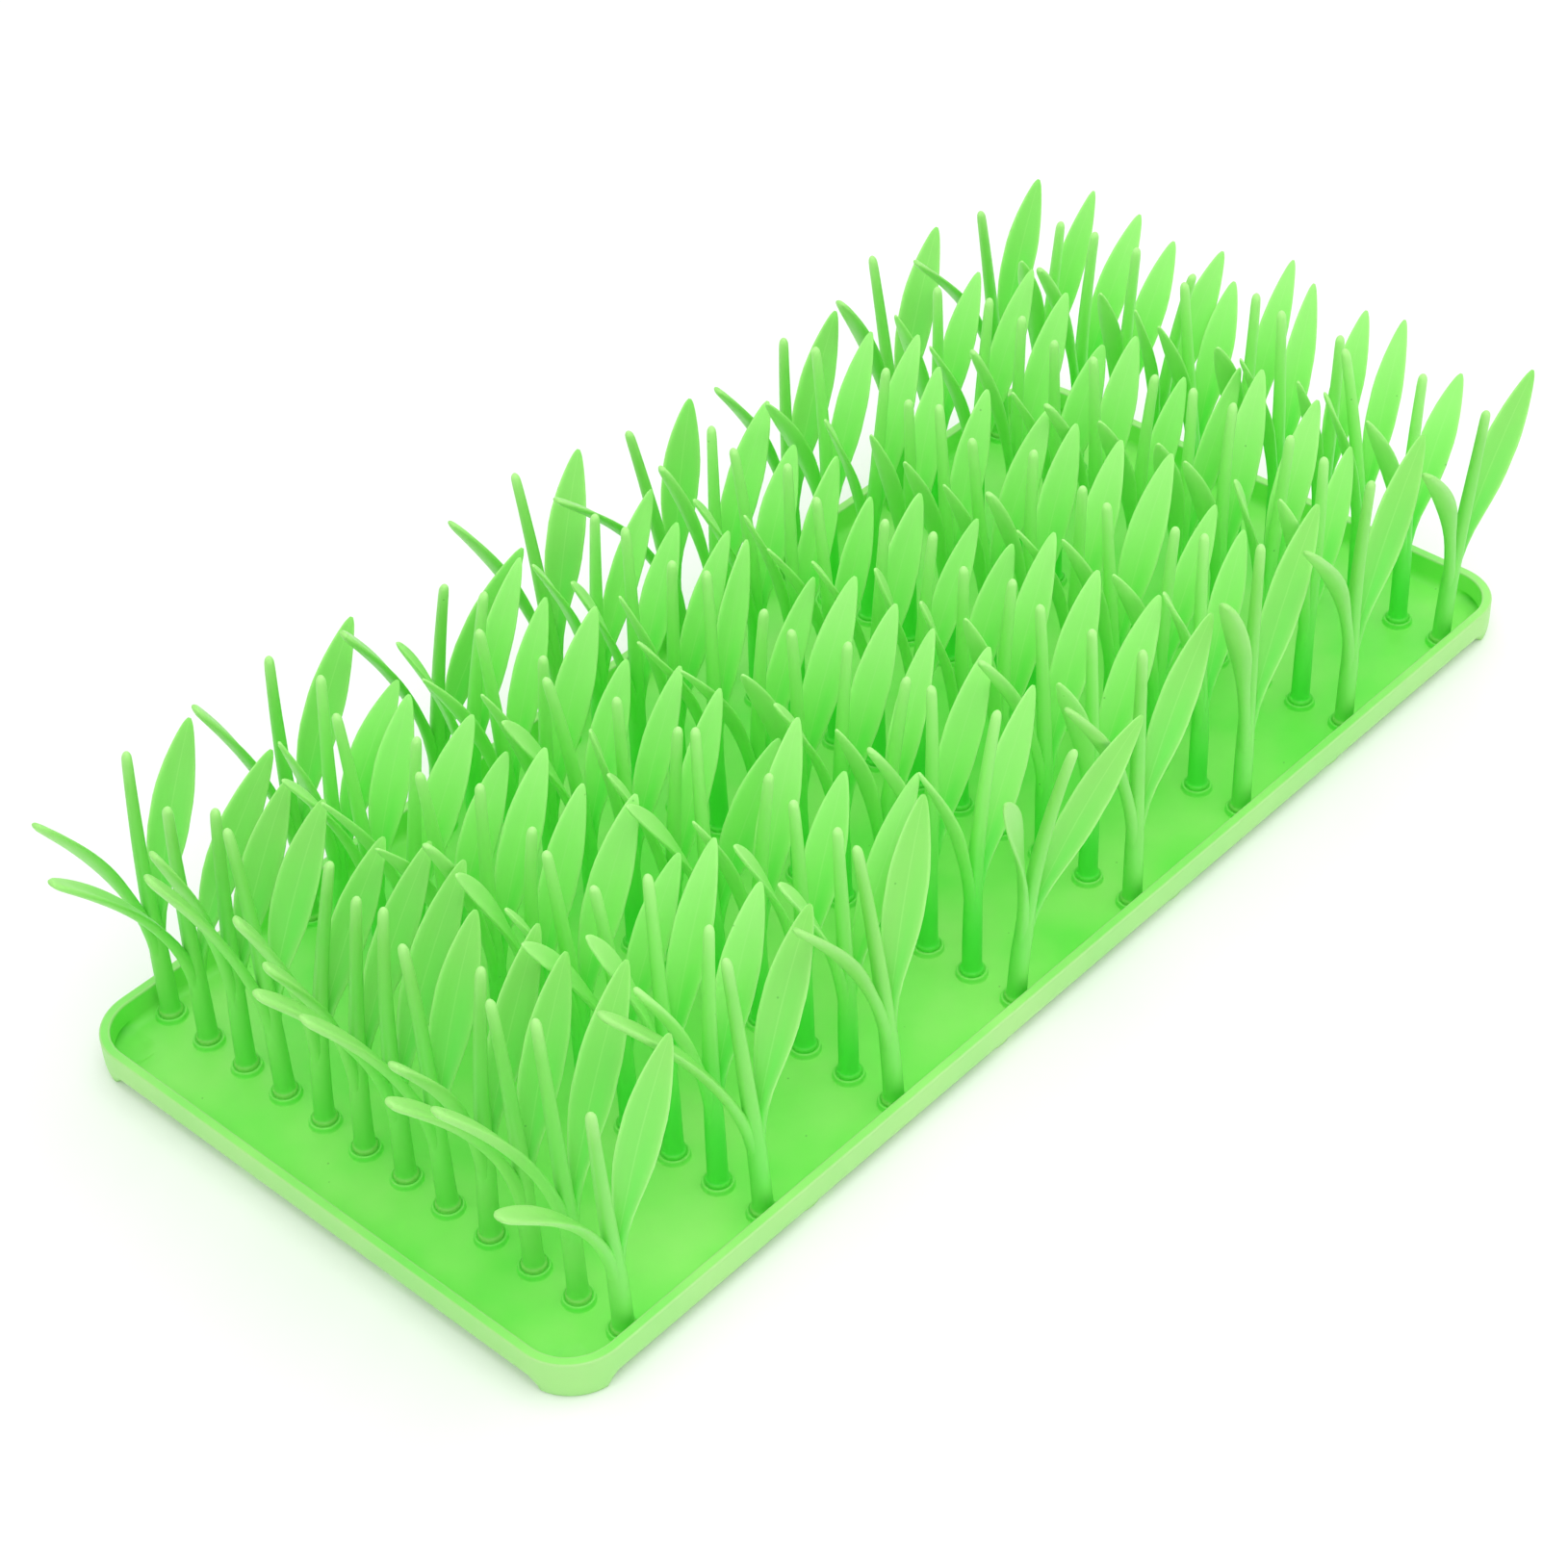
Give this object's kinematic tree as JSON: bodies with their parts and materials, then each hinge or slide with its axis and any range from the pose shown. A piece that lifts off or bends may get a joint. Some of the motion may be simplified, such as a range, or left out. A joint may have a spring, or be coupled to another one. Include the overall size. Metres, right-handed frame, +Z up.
{
  "type": "slow feeder mat",
  "caption": "Rectangular moulded silicone feeder mat: a shallow rimmed tray on low round feet, with rows of upright grass-like tufts among which dry pet food is scattered.",
  "frame": {"origin": "under the middle of the whole mat, overhanging blades included, on the plane of the feet's undersides", "axes": "+X along the length, from the first row to the last; +Y across, along a row; +Z up"},
  "size_m": [0.4522, 0.2128, 0.0992],
  "materials": {
    "tray_silicone": "satin",
    "grass_silicone": "satin"
  },
  "bodies": {
    "root": {"tray": "tray_silicone", "row_1": "grass_silicone", "row_2": "grass_silicone", "row_3": "grass_silicone", "row_4": "grass_silicone", "row_5": "grass_silicone", "row_6": "grass_silicone", "row_7": "grass_silicone", "row_8": "grass_silicone"}
  },
  "joints": []
}
